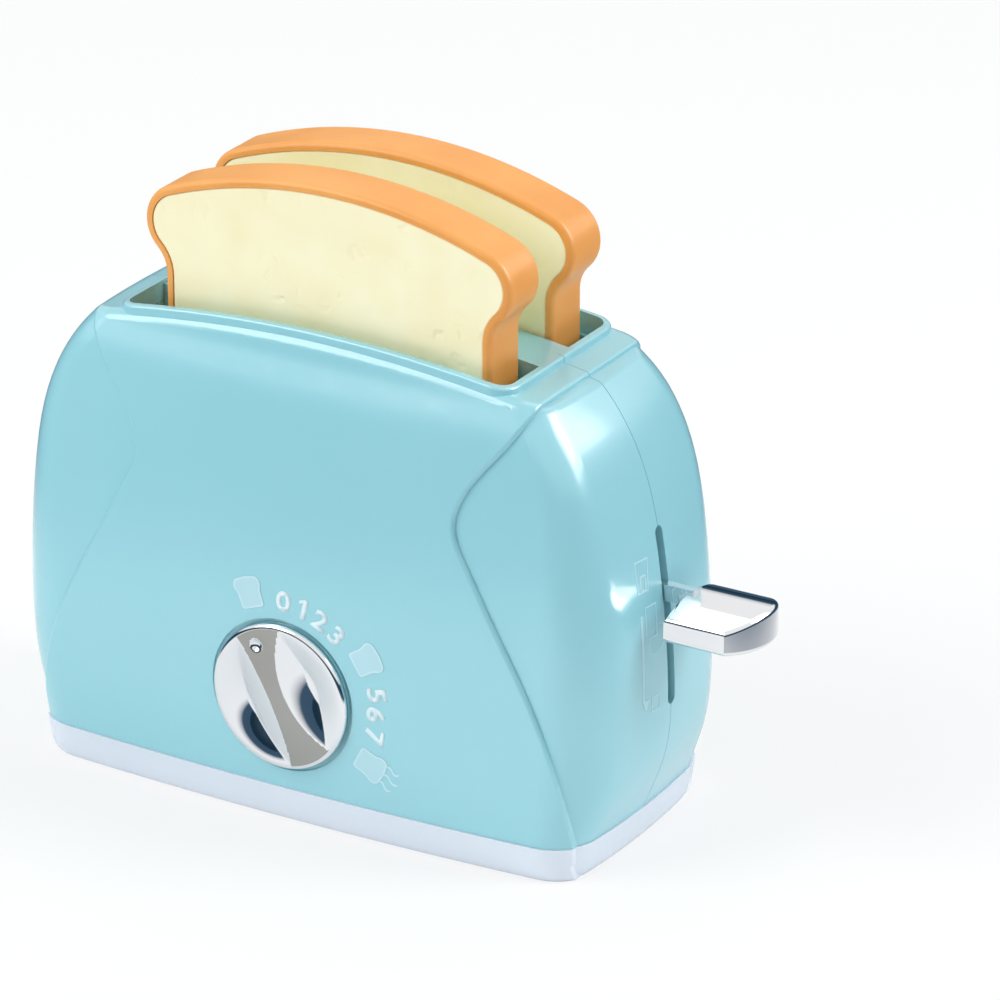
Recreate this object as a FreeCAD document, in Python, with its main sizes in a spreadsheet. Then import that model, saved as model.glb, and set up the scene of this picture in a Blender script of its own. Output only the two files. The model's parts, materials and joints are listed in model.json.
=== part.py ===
import FreeCAD, Part
import math
import os
import re

# A toy toaster with a push-down lever, a turning dial and two slices.
# Frame: +X to the lever end, +Y to the back, +Z up, origin under the middle of the base.

SIZES = (
    # housing
    ("body_half_length", 77.7),
    ("body_half_depth", 33.2),
    ("seam_height", 8.5),
    ("body_rise", 99.9),
    ("end_radius", 220.0),
    ("front_radius", 900.0),
    ("corner_radius", 15.0),
    ("wall", 2.2),
    ("roof_reach", 58.0),
    ("roof_end_height", 107.4),
    ("roof_mid_height", 112.4),
    ("seam_gap", 0.16),
    # raised saddle panel that wraps the front, roof and back
    ("saddle_step", 1.05),
    ("saddle_top_half", 56.0),
    ("saddle_waist_half", 41.2),
    ("saddle_foot_half", 68.5),
    ("saddle_waist_height", 80.5),
    ("saddle_top_height", 105.0),
    # bread opening and its lip
    ("opening_half_length", 49.0),
    ("opening_half_depth", 22.4),
    ("opening_corner", 3.4),
    ("lip_width", 1.6),
    ("lip_rise", 1.5),
    ("lip_round", 0.8),
    ("saddle_round", 0.9),
    ("roof_round", 3.0),
    # base tray
    ("base_flare", 0.5),
    ("base_tuck", 1.6),
    ("base_floor", 2.2),
    # liner with the two bread wells
    ("liner_half_depth", 22.3),
    ("liner_wall", 1.4),
    ("liner_low_half", 47.4),
    ("liner_ledge_height", 96.0),
    ("liner_floor_height", 30.2),
    ("divider_half", 6.4),
    ("divider_drop", 1.0),
    ("liner_clearance", 0.1),
    # slices
    ("slice_half_width", 46.7),
    ("slice_side_half", 41.6),
    ("slice_top_height", 147.2),
    ("slice_shoulder_drop", 15.9),
    ("slice_shoulder_radius", 9.0),
    ("slice_neck_radius", 8.0),
    ("slice_foot_radius", 6.0),
    ("slice_thickness", 12.7),
    ("slice_centre_x", 2.0),
    ("slice_centre_y", 13.4),
    ("crust_wall", 1.9),
    ("crust_round", 1.3),
    ("crumb_thickness", 1.6),
    ("crumb_recess", 0.2),
    ("crumb_gap", 0.06),
    ("peg_radius", 1.6),
    ("peg_reach", 26.0),
    ("peg_rise", 20.0),
    ("peg_drop", 23.2),
    # carriage and its guide
    ("rod_x", "=body_half_length - 17.7"),
    ("rod_radius", 1.5),
    ("rod_foot", 3.0),
    ("rod_top", 91.0),
    ("running_gap", 0.06),
    ("rest_height", 62.0),
    ("rest_thickness", 1.6),
    ("rest_width", 10.0),
    ("arm_height", 3.6),
    ("arm_width", 4.6),
    ("carriage_foot", 52.0),
    ("carriage_height", 16.0),
    ("carriage_half_width", 5.4),
    ("travel_down", 24.0),
    ("travel_up", 11.0),
    ("spring_radius", 3.3),
    ("spring_wire", 0.9),
    ("spring_turns", 9),
    # lever
    ("slot_foot", 34.7),
    ("slot_top", 76.4),
    ("slot_width", 3.0),
    ("stem_thickness", 2.2),
    ("stem_height", 3.9),
    ("stem_top", 63.4),
    ("paddle_start", "=body_half_length + 4.1"),
    ("paddle_reach", 20.6),
    ("paddle_half_width", 11.0),
    ("paddle_foot", 54.5),
    ("paddle_edge_height", 5.6),
    ("paddle_crown", 2.6),
    ("paddle_nose_radius", 13.5),
    ("paddle_round", 1.1),
    # dial
    ("dial_x", -1.6),
    ("dial_height", 31.4),
    ("dial_radius", 17.3),
    ("dial_back", "=body_half_depth + 0.5"),
    ("dial_face", "=dial_back + 4.9"),
    ("dial_recess_radius", 18.3),
    ("dial_recess_floor", "=body_half_depth - 0.2"),
    ("dial_rim", 1.5),
    ("dial_round", 1.6),
    ("dial_start_angle", 26.0),
    ("dial_sweep", 144.0),
    ("band_half_waist", 2.6),
    ("band_scoop_radius", 19.0),
    ("scoop_depth", 3.9),
    ("scoop_crease", 7.0),
    ("shaft_radius", 3.0),
    ("shaft_end", "=body_half_depth - 8.6"),
    ("wheel_radius", 8.0),
    ("wheel_teeth", 15),
    ("tooth_depth", 0.9),
    ("wheel_front", "=body_half_depth - 4"),
    ("wheel_thickness", 1.9),
    ("cam_high", 9.6),
    ("cam_low", 6.3),
    ("cam_thickness", 2.4),
    # latch
    ("latch_y", 11.5),
    ("latch_height", 14.0),
    ("latch_x", "=rod_x - 0.5"),
    ("latch_width", 5.0),
    ("latch_pin_radius", 1.2),
    ("latch_turn", 12.0),
    ("latch_arm", 2.8),
    ("tab_reach", 3.6),
    ("tab_height", 3.0),
    ("trip_gap", 0.3),
    # screws
    ("screw_radius", 1.5),
    ("screw_head_radius", 2.7),
    ("screw_head_height", 1.8),
    ("boss_radius", 3.5),
    ("base_screw_x", "=body_half_length - 11.7"),
    ("base_screw_y", "=body_half_depth - 12.7"),
    ("boss_top", 28.0),
    ("low_screw_x", "=body_half_length - 7.7"),
    ("low_screw_height", 20.0),
    ("high_screw_x", "=body_half_length - 19.2"),
    ("high_screw_height", 97.0),
)

doc = FreeCAD.newDocument("toy_toaster")
sheet = doc.addObject("Spreadsheet::Sheet", "Sizes")
for row, (name, value) in enumerate(SIZES, 1):
    sheet.set("A%d" % row, name)
    sheet.set("B%d" % row, str(value))
    sheet.setAlias("B%d" % row, name)
doc.recompute()
NAMES = {name for name, value in SIZES}


class Values:
    """Plain numbers of the sheet, for the forms that are worked out here."""

    def __getattr__(self, name):
        return float(sheet.get(name))


dim = Values()
V = FreeCAD.Vector
nodes = {}


def bound(text):
    """An expression in which each size name points at its cell."""
    swap = lambda found: "Sizes." + found.group() if found.group() in NAMES else found.group()
    return re.sub(r"[a-z][a-z_]*", swap, str(text))


def bind(thing, prop, text):
    thing.setExpression(prop, bound(text))


def node(thing, name):
    """Gives a finished piece the name of its file."""
    thing.Label = name
    nodes[name] = thing
    return thing


def place(thing, x, y, z):
    bind(thing, "Placement.Base.x", x)
    bind(thing, "Placement.Base.y", y)
    bind(thing, "Placement.Base.z", z)


def box(name, x, y, z, length, width, height):
    """A block from its lowest corner."""
    thing = doc.addObject("Part::Box", name)
    bind(thing, "Length", length)
    bind(thing, "Width", width)
    bind(thing, "Height", height)
    place(thing, x, y, z)
    return thing


TURNS = {
    "x": FreeCAD.Rotation(V(0, 1, 0), 90),
    "y": FreeCAD.Rotation(V(1, 0, 0), -90),
    "z": FreeCAD.Rotation(),
}


def rod(name, axis, x, y, z, radius, length):
    """A round bar that runs from its first end along +X, +Y or +Z."""
    thing = doc.addObject("Part::Cylinder", name)
    thing.Placement = FreeCAD.Placement(V(0, 0, 0), TURNS[axis])
    bind(thing, "Radius", radius)
    bind(thing, "Height", length)
    place(thing, x, y, z)
    return thing


def fuse(name, *things):
    thing = doc.addObject("Part::MultiFuse", name)
    thing.Shapes = list(things)
    thing.Refine = False
    return thing


def cut(name, base, *tools):
    tool = tools[0] if len(tools) == 1 else fuse(name + "_tools", *tools)
    thing = doc.addObject("Part::Cut", name)
    thing.Base = base
    thing.Tool = tool
    thing.Refine = False
    return thing


def common(name, first, second):
    thing = doc.addObject("Part::Common", name)
    thing.Base = first
    thing.Tool = second
    thing.Refine = False
    return thing


def form(name, shape):
    """A shape worked out from the sizes, kept as an object of the document."""
    thing = doc.addObject("Part::Feature", name)
    thing.Shape = shape
    return thing


def group(name, *things):
    """Loose solids that share one node."""
    thing = doc.addObject("Part::Compound", name)
    thing.Links = list(things)
    return thing


def mirrored(name, source):
    """The same form on the other side of the middle plane, Y to -Y."""
    thing = doc.addObject("Part::Mirroring", name)
    thing.Source = source
    thing.Normal = V(0, 1, 0)
    return thing


# The housing. Each level gives the share of the rise above the seam, of the half length, of the
# half depth and of the corner radius: drawn in at the foot, upright, and drawn in to the roof.
LEVELS = (
    (0.000, 0.922, 0.968, 0.68),
    (0.080, 0.961, 0.984, 0.85),
    (0.195, 0.998, 0.994, 1.00),
    (0.395, 0.998, 0.992, 0.97),
    (0.596, 0.971, 0.973, 0.82),
    (0.776, 0.923, 0.930, 0.66),
    (0.896, 0.856, 0.866, 0.55),
    (0.986, 0.768, 0.765, 0.48),
    (1.060, 0.685, 0.735, 0.44),
)
SMOOTH = 3


def tangent_corner(end_x, front_y, end_r, front_r, corner_r):
    """Where a corner arc meets the end arc and the front arc, and its middle point."""
    end_c = V(end_x - end_r, 0, 0)
    front_c = V(0, front_r - front_y, 0)
    a = end_r - corner_r
    b = front_r - corner_r
    line = front_c - end_c
    span = line.Length
    along = (a * a - b * b + span * span) / (2 * span)
    off = math.sqrt(a * a - along * along)
    unit = line / span
    side = V(unit.y, -unit.x, 0)
    centre = end_c + unit * along + side * off
    on_end = end_c + (centre - end_c) * (end_r / a)
    on_front = front_c + (centre - front_c) * (front_r / b)
    middle = centre + ((on_end - centre) + (on_front - centre)).normalize() * corner_r
    return on_end, middle, on_front


def half_section(level, offset, height):
    """The front half of a level's outline, closed along the middle plane."""
    share, long_share, deep_share, corner_share = level
    end_x = dim.body_half_length * long_share + offset
    front_y = dim.body_half_depth * deep_share + offset
    corner = dim.corner_radius * corner_share
    end_r = dim.end_radius + offset
    front_r = dim.front_radius + offset
    on_end, middle, on_front = tangent_corner(end_x, front_y, end_r, front_r, corner + offset)
    end_c = V(end_x - end_r, 0, 0)
    end_middle = end_c + ((on_end - end_c) + V(end_r, 0, 0)).normalize() * end_r
    flip = lambda p: V(-p.x, p.y, 0)
    tip = V(end_x, 0, 0)
    arcs = (
        (flip(tip), flip(end_middle), flip(on_end)),
        (flip(on_end), flip(middle), flip(on_front)),
        (flip(on_front), V(0, -front_y, 0), on_front),
        (on_front, middle, on_end),
        (on_end, end_middle, tip),
    )
    up = V(0, 0, height)
    edges = [Part.Arc(a + up, b + up, c + up).toShape() for a, b, c in arcs]
    edges.append(Part.makeLine(tip + up, flip(tip) + up))
    return Part.Wire(edges)


def half_hull(offset):
    """The front half of the housing's outer form, grown or shrunk by the offset."""
    heights = [dim.seam_height + dim.body_rise * level[0] for level in LEVELS]
    wires = [half_section(level, offset, height) for level, height in zip(LEVELS, heights)]
    return Part.makeLoft(wires, True, False, False, SMOOTH)


def under_arch(lift):
    """Everything below the roof's arch, raised by the lift."""
    sag = dim.roof_mid_height - dim.roof_end_height
    radius = (dim.roof_reach ** 2 + sag ** 2) / (2 * sag)
    centre = dim.roof_mid_height - radius
    half = dim.body_half_length + 10
    radius += lift
    shoulder = centre + math.sqrt(radius ** 2 - half ** 2)
    arc = Part.Arc(V(-half, -60, shoulder), V(0, -60, centre + radius), V(half, -60, shoulder))
    corners = [V(half, -60, shoulder), V(half, -60, -5), V(-half, -60, -5), V(-half, -60, shoulder)]
    face = Part.Face(Part.Wire([arc.toShape(), Part.makePolygon(corners)]))
    return face.extrude(V(0, 120, 0))


# The saddle's edge, above and below its waist: shares of the height and of the reach.
EDGE_ABOVE = ((0.22, 0.08), (0.46, 0.31), (0.70, 0.63), (1.00, 0.97))
EDGE_BELOW = ((0.118, 0.122), (0.250, 0.312), (0.507, 0.681), (0.785, 0.950), (1.060, 1.010))


def saddle_prism():
    """The saddle's outline seen from the front, drawn out through the front half."""
    waist = dim.saddle_waist_half
    height = dim.saddle_waist_height
    up = dim.saddle_top_height - height
    down = height - dim.seam_height
    points = [V(dim.saddle_top_half, 0, height + 1.7 * up)]
    for share, reach in reversed(EDGE_ABOVE):
        points.append(V(waist + reach * (dim.saddle_top_half - waist), 0, height + share * up))
    points.append(V(waist, 0, height))
    for share, reach in EDGE_BELOW:
        points.append(V(waist + reach * (dim.saddle_foot_half - waist), 0, height - share * down))
    right = Part.BSplineCurve()
    right.interpolate(points)
    left = Part.BSplineCurve()
    left.interpolate([V(-p.x, 0, p.z) for p in points])
    top = Part.makeLine(V(-points[0].x, 0, points[0].z), points[0])
    foot = Part.makeLine(V(-points[-1].x, 0, points[-1].z), points[-1])
    face = Part.Face(Part.Wire([top, right.toShape(), foot, left.toShape()]))
    return face.extrude(V(0, -60, 0))


def rounded_half(half_length, half_depth, corner, foot, top):
    """The front half of a rounded block, closed along the middle plane."""
    inner_x = half_length - corner
    inner_y = -half_depth + corner
    bend = corner * math.sqrt(0.5)
    edges = [
        Part.makeLine(V(half_length, 0, foot), V(-half_length, 0, foot)),
        Part.makeLine(V(-half_length, 0, foot), V(-half_length, inner_y, foot)),
        Part.Arc(V(-half_length, inner_y, foot), V(-inner_x - bend, inner_y - bend, foot),
                 V(-inner_x, -half_depth, foot)).toShape(),
        Part.makeLine(V(-inner_x, -half_depth, foot), V(inner_x, -half_depth, foot)),
        Part.Arc(V(inner_x, -half_depth, foot), V(inner_x + bend, inner_y - bend, foot),
                 V(half_length, inner_y, foot)).toShape(),
        Part.makeLine(V(half_length, inner_y, foot), V(half_length, 0, foot)),
    ]
    return Part.Face(Part.Wire(edges)).extrude(V(0, 0, top - foot))


def ridge(shape, one, other):
    """The outer edges of a shape where a face of one kind of surface meets one of the other kind."""
    found = []
    for edge in shape.Edges:
        kinds = sorted(type(face.Surface).__name__ for face in shape.ancestorsOfType(edge, Part.Face))
        if kinds == sorted((one, other)) and edge.BoundBox.YMin < -0.5:
            found.append(edge)
    return found


def half_skin():
    """The front half of the housing as a bare moulded skin with its lip and opening."""
    hull = half_hull(0).common(under_arch(0))
    hull = hull.makeFillet(dim.roof_round, ridge(hull, "Cylinder", "BSplineSurface"))
    saddle = half_hull(dim.saddle_step).common(saddle_prism()).common(under_arch(dim.saddle_step))
    saddle = saddle.makeFillet(dim.roof_round, ridge(saddle, "Cylinder", "BSplineSurface"))
    border = ridge(saddle, "SurfaceOfExtrusion", "BSplineSurface")
    saddle = saddle.makeFillet(dim.saddle_round, border + ridge(saddle, "SurfaceOfExtrusion", "Cylinder"))
    lip_foot = dim.roof_end_height - 3
    lip_top = dim.roof_mid_height + 10
    corner = dim.opening_corner + dim.lip_width
    lip = rounded_half(dim.opening_half_length + dim.lip_width, dim.opening_half_depth + dim.lip_width,
                       corner, lip_foot, lip_top)
    lip = lip.common(under_arch(dim.saddle_step + dim.lip_rise))
    lip_top_face = [face for face in lip.Faces if face.BoundBox.XLength > 20 and face.BoundBox.YLength > 15
                    and face.BoundBox.ZMin > dim.roof_end_height][0]
    lip = lip.makeFillet(dim.lip_round, [edge for edge in lip_top_face.Edges if edge.BoundBox.YMin < -0.5])
    skin = hull.fuse([saddle, lip])
    cavity = half_hull(-dim.wall).common(under_arch(-dim.wall))
    opening = rounded_half(dim.opening_half_length, dim.opening_half_depth, dim.opening_corner,
                           dim.roof_end_height - 12, lip_top)
    split = Part.makeBox(300, dim.seam_gap, 300, V(-150, -dim.seam_gap / 2, -100))
    return skin.cut([cavity, opening, split])


front_skin = form("front_skin", half_skin())
rear_skin = mirrored("rear_skin", front_skin)

slot_tool = fuse(
    "slot_tool",
    box("slot_run", "low_screw_x", "-slot_width / 2", "slot_foot + slot_width / 2", "20",
        "slot_width", "slot_top - slot_foot - slot_width"),
    rod("slot_low_end", "x", "low_screw_x", "0", "slot_foot + slot_width / 2", "slot_width / 2", "20"),
    rod("slot_high_end", "x", "low_screw_x", "0", "slot_top - slot_width / 2", "slot_width / 2", "20"),
)

SIDES = ((-1, "left"), (1, "right"))


def base_bosses(side):
    """Two upright posts in a shell that take the screws of the base."""
    front = -1 if side == "front" else 1
    return [
        rod("%s_base_boss_%s" % (side, word), "z", "%d * base_screw_x" % sign, "%d * base_screw_y" % front,
            "seam_height", "boss_radius", "boss_top - seam_height")
        for sign, word in SIDES
    ]


def base_boss_holes(side):
    front = -1 if side == "front" else 1
    return [
        rod("%s_base_hole_%s" % (side, word), "z", "%d * base_screw_x" % sign, "%d * base_screw_y" % front,
            "seam_height - 1", "screw_radius", "12")
        for sign, word in SIDES
    ]


LEVEL_WORDS = ("low", "high")


def shell_bosses(side):
    """Four level posts in a shell, two low and two high, that meet at the middle plane."""
    posts = []
    for word in LEVEL_WORDS:
        for sign, end in SIDES:
            start = "-body_half_depth * 0.8" if side == "front" else "seam_gap / 2"
            posts.append(rod("%s_boss_%s_%s" % (side, word, end), "y", "%d * %s_screw_x" % (sign, word), start,
                             "%s_screw_height" % word, "boss_radius", "body_half_depth * 0.8 - seam_gap / 2"))
    return posts


def shell_boss_holes(side):
    """Blind pilots in the front posts, clear holes with head recesses in the rear posts."""
    tools = []
    for word in LEVEL_WORDS:
        for sign, end in SIDES:
            x = "%d * %s_screw_x" % (sign, word)
            z = "%s_screw_height" % word
            if side == "front":
                tools.append(rod("pilot_%s_%s" % (word, end), "y", x, "-12", z, "screw_radius", "14"))
                continue
            tools.append(rod("clear_%s_%s" % (word, end), "y", x, "-1", z, "screw_radius", "60"))
            tools.append(rod("recess_%s_%s" % (word, end), "y", x, "12", z, "screw_head_radius + 0.3", "50"))
    return tools


hull_core = form("hull_core", half_hull(-0.4).common(under_arch(-0.4)))
hull_core_rear = mirrored("hull_core_rear", hull_core)

dial_boss = rod("dial_boss", "y", "dial_x", "-body_half_depth", "dial_height", "shaft_radius + 2.2",
                "body_half_depth - wheel_front - 0.2")
click_boss = rod("click_boss", "y", "dial_x", "-body_half_depth", "dial_height + 22", "2.6",
                 "body_half_depth - wheel_front")
front_ribs = common("front_ribs", fuse("front_posts", dial_boss, click_boss, *(base_bosses("front")
                    + shell_bosses("front"))), hull_core)
dial_tools = [
    rod("dial_recess", "y", "dial_x", "-60", "dial_height", "dial_recess_radius", "60 - dial_recess_floor"),
    rod("dial_hole", "y", "dial_x", "-60", "dial_height", "shaft_radius + running_gap", "40"),
]
node(cut("front_body", fuse("front_solid", front_skin, front_ribs), slot_tool, *(dial_tools
     + base_boss_holes("front") + shell_boss_holes("front"))), "front_shell")

rod_shelf = box("rod_shelf", "rod_x - 4.5", "-4", "rod_top - 4.5", "9", "34", "4")
rear_ribs = common("rear_ribs", fuse("rear_posts", *(base_bosses("rear") + shell_bosses("rear"))),
                   hull_core_rear)
shelf = common("rear_shelf", rod_shelf, fuse("hull_both", hull_core, hull_core_rear))
node(cut("rear_body", fuse("rear_solid", rear_skin, rear_ribs, shelf), slot_tool,
     rod("shelf_hole", "z", "rod_x", "0", "rod_top - 10", "rod_radius", "20"),
     *(base_boss_holes("rear") + shell_boss_holes("rear"))), "rear_shell")


# The base tray follows the housing's foot, with the saddle's step at its corners.
def tray_half():
    foot = LEVELS[0]
    top = dim.seam_height - dim.seam_gap / 2
    steps = ((0.0, -dim.base_tuck), (0.10, -0.62 * dim.base_tuck), (0.28, -0.27 * dim.base_tuck),
             (0.55, -0.02 * dim.base_tuck), (1.0, dim.base_flare))

    def lofted(extra):
        wires = [half_section(foot, offset + extra, share * top) for share, offset in steps]
        return Part.makeLoft(wires, True, False, False, SMOOTH)

    prism = saddle_prism().common(Part.makeBox(300, 100, 40, V(-150, -100, 0)))
    low = dim.saddle_foot_half
    foot_block = Part.makeBox(2 * low, 100, top, V(-low, -100, 0))
    outer = lofted(0).fuse(lofted(dim.saddle_step).common(foot_block.fuse(prism)))
    wires = [half_section(foot, -dim.wall, height) for height in (dim.base_floor, top + 1)]
    return outer.cut(Part.makeLoft(wires, True, True))


tray_front = form("tray_front", tray_half())
tray_rear = mirrored("tray_rear", tray_front)
base_posts = []
base_holes = []
for y_sign in (-1, 1):
    for sign, word in SIDES:
        tag = "%s_%s" % (word, "front" if y_sign < 0 else "rear")
        x = "%d * base_screw_x" % sign
        y = "%d * base_screw_y" % y_sign
        base_posts.append(rod("tray_post_" + tag, "z", x, y, "0.5", "boss_radius",
                              "seam_height - seam_gap / 2 - 0.5"))
        base_holes.append(rod("tray_hole_" + tag, "z", x, y, "-1", "screw_radius + 0.1", "20"))
        base_holes.append(rod("tray_recess_" + tag, "z", x, y, "-1", "screw_head_radius + 0.3",
                              "screw_head_height + 1.8"))
rod_boss = rod("rod_boss", "z", "rod_x", "0", "base_floor - 0.5", "4", "10")
ears = [
    box("latch_ear_" + word, x, "-latch_y - 3", "base_floor - 0.5", "2", "6",
        "latch_height + 3.5 - base_floor + 0.5")
    for word, x in (("left", "latch_x - latch_width / 2 - 2.3"), ("right", "latch_x + latch_width / 2 + 0.3"))
]
spring_post = rod("spring_post", "z", "latch_x - 20", "-latch_y - 14", "base_floor - 0.5", "1.1", "4")
liner_posts = [
    rod("liner_post_" + word, "z", "%d * 30" % sign, "0", "base_floor - 0.5", "4",
        "liner_floor_height - base_floor + 0.5")
    for sign, word in SIDES
]
liner_holes = [
    rod("liner_post_hole_" + word, "z", "%d * 30" % sign, "0", "liner_floor_height - 12", "screw_radius", "20")
    for sign, word in SIDES
]
latch_bore = rod("latch_bore", "x", "latch_x - 12", "-latch_y", "latch_height", "latch_pin_radius", "24")
rod_bore = rod("rod_bore", "z", "rod_x", "0", "rod_foot", "rod_radius", "30")
node(cut("tray_body", fuse("tray_solid", tray_front, tray_rear, rod_boss, spring_post,
     *(base_posts + ears + liner_posts)), rod_bore, latch_bore, *(base_holes + liner_holes)), "base_tray")


# The liner: two wells, open above, with a hollow divider between them.
def liner():
    high_half = dim.opening_half_length + dim.liner_wall
    low_half = dim.liner_low_half
    depth = dim.liner_half_depth
    wall = dim.liner_wall
    foot = dim.liner_floor_height
    ledge = dim.liner_ledge_height
    top = dim.roof_mid_height

    def block(half, deep, low, high):
        return Part.makeBox(2 * half, 2 * deep, high - low, V(-half, -deep, low))

    outside = block(low_half, depth, foot, top).fuse(block(high_half, depth, ledge, top))
    inside = block(low_half - wall, depth - wall, foot + wall, top + 5)
    inside = inside.fuse(block(dim.opening_half_length, depth - wall, ledge + wall, top + 5))
    cup = outside.common(under_arch(-dim.wall - dim.liner_clearance)).cut(inside)
    rim = dim.saddle_step + dim.lip_rise - dim.divider_drop
    run = dim.opening_half_length - dim.liner_clearance
    divider = block(low_half - 0.5 * wall, dim.divider_half, foot, ledge + wall)
    divider = divider.fuse(block(run, dim.divider_half, ledge, top + 20)).common(under_arch(rim))
    hollow = block(low_half - 2 * wall, dim.divider_half - wall, foot - 1, top + 20)
    divider = divider.cut(hollow.common(under_arch(rim - wall)))
    return cup.cut(block(low_half - 2 * wall, dim.divider_half - wall, foot - 1, foot + 2 * wall)).fuse(divider)


liner_form = form("liner_form", liner())
arm_slots = [
    box("arm_slot_" + word, "liner_low_half - 2 * liner_wall", "%d * slice_centre_y - arm_width / 2 - 0.4" % sign,
        "rest_height - rest_thickness - arm_height - travel_down - 1", "4 * liner_wall", "arm_width + 0.8",
        "travel_down + travel_up + arm_height + 2.2")
    for sign, word in ((-1, "front"), (1, "rear"))
]
liner_lugs = [
    box("liner_lug_" + word, "%d * 30 - 5" % sign, "-divider_half + 0.2", "liner_floor_height",
        "10", "2 * divider_half - 0.4", "liner_wall")
    for sign, word in SIDES
]
lug_holes = [
    rod("lug_hole_" + word, "z", "%d * 30" % sign, "0", "liner_floor_height - 1", "screw_radius + 0.1", "8")
    for sign, word in SIDES
]
node(cut("liner_body", fuse("liner_solid", liner_form, *liner_lugs), *(arm_slots + lug_holes)), "well_liner")


# Slices: a crust ring and two crumb faces each.
def slice_wire(offset, y):
    """The slice's outline, drawn in by the offset, as arcs and lines in the plane at Y."""
    side = dim.slice_side_half - offset
    shoulder = dim.slice_shoulder_radius - offset
    shoulder_x = dim.slice_half_width - dim.slice_shoulder_radius
    shoulder_z = dim.slice_top_height - dim.slice_shoulder_drop
    rise = dim.slice_top_height - shoulder_z
    r = dim.slice_shoulder_radius
    arch = (shoulder_x ** 2 + rise ** 2 - r ** 2) / (2 * (rise - r))
    arch_z = dim.slice_top_height - arch
    neck = dim.slice_neck_radius + offset
    neck_x = dim.slice_side_half + dim.slice_neck_radius
    neck_z = shoulder_z - math.sqrt((dim.slice_neck_radius + r) ** 2 - (neck_x - shoulder_x) ** 2)
    foot_r = dim.slice_foot_radius - offset
    foot_z = dim.rest_height + offset
    to_arch = V(shoulder_x, y, shoulder_z) - V(0, y, arch_z)
    high = V(0, y, arch_z) + to_arch.normalize() * (arch - offset)
    to_neck = V(shoulder_x - neck_x, 0, shoulder_z - neck_z).normalize()
    low = V(neck_x, y, neck_z) + to_neck * neck
    bend = math.sqrt(0.5)
    shoulder_mid = V(shoulder_x, y, shoulder_z) + ((high - V(shoulder_x, y, shoulder_z)).normalize()
                                                   + V(1.2, 0, 0)).normalize() * shoulder
    neck_mid = V(neck_x, y, neck_z) + (to_neck + V(-1, 0, 0)).normalize() * neck
    right = [
        (high, shoulder_mid, low),
        (low, neck_mid, V(side, y, neck_z)),
        (V(side, y, neck_z), None, V(side, y, foot_z + foot_r)),
        (V(side, y, foot_z + foot_r), V(side - foot_r + bend * foot_r, y, foot_z + foot_r - bend * foot_r),
         V(side - foot_r, y, foot_z)),
    ]
    flip = lambda p: V(-p.x, p.y, p.z)
    curves = [(flip(high), V(0, y, dim.slice_top_height - offset), high)] + right
    curves.append((right[-1][2], None, flip(right[-1][2])))
    curves += [(flip(c), flip(b) if b else None, flip(a)) for a, b, c in reversed(right)]
    shift = V(dim.slice_centre_x, 0, 0)
    edges = []
    for a, b, c in curves:
        line = Part.LineSegment(a + shift, c + shift) if b is None else Part.Arc(a + shift, b + shift, c + shift)
        edges.append(line.toShape())
    return Part.Wire(edges)


def long_edges(shape, y):
    """The edges of a shape that lie in the plane at Y."""
    return [e for e in shape.Edges if all(abs(v.Y - y) < 1e-6 for v in e.Vertexes)]


def crust(centre):
    front = centre - dim.slice_thickness / 2
    back = centre + dim.slice_thickness / 2
    solid = Part.Face(slice_wire(0, front)).extrude(V(0, dim.slice_thickness, 0))
    solid = solid.makeFillet(dim.crust_round, long_edges(solid, front) + long_edges(solid, back))
    core = Part.Face(slice_wire(dim.crust_wall, front - 1)).extrude(V(0, dim.slice_thickness + 2, 0))
    return solid.cut(core)


def crumb(centre, facing):
    """A crumb face with its pegs or sockets, facing -1 to the front or 1 to the back."""
    outer = centre + facing * (dim.slice_thickness / 2 - dim.crumb_recess)
    inset = dim.crust_wall + dim.crumb_gap
    plate = Part.Face(slice_wire(inset, outer)).extrude(V(0, -facing * dim.crumb_thickness, 0))
    plate = plate.makeFillet(0.5, long_edges(plate, outer))
    reach = dim.slice_thickness / 2 - dim.crumb_recess - dim.crumb_thickness / 2
    start = outer - facing * dim.crumb_thickness / 2
    low = dim.rest_height + dim.peg_rise
    high = dim.slice_top_height - dim.peg_drop
    reach_x = dim.peg_reach
    for x, z in ((-reach_x, low), (reach_x, low), (-reach_x, high), (reach_x, high)):
        foot = V(dim.slice_centre_x + x, start, z)
        way = V(0, -facing, 0)
        if facing < 0:
            plate = plate.fuse(Part.makeCylinder(dim.peg_radius, reach + 2.5, foot, way))
            continue
        tube = Part.makeCylinder(dim.peg_radius + 1.4, reach, foot, way)
        bore = Part.makeCylinder(dim.peg_radius + 0.05, 4, V(foot.x, centre - 0.5, z), V(0, 1, 0))
        plate = plate.fuse(tube).cut(bore)
    return plate


for word, sign in (("front", -1), ("rear", 1)):
    centre = sign * dim.slice_centre_y
    node(form(word + "_crust_form", crust(centre)), word + "_crust")
    node(form(word + "_crumb_a", crumb(centre, -1)), word + "_crumb_face")
    node(form(word + "_crumb_b", crumb(centre, 1)), word + "_crumb_back")


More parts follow.
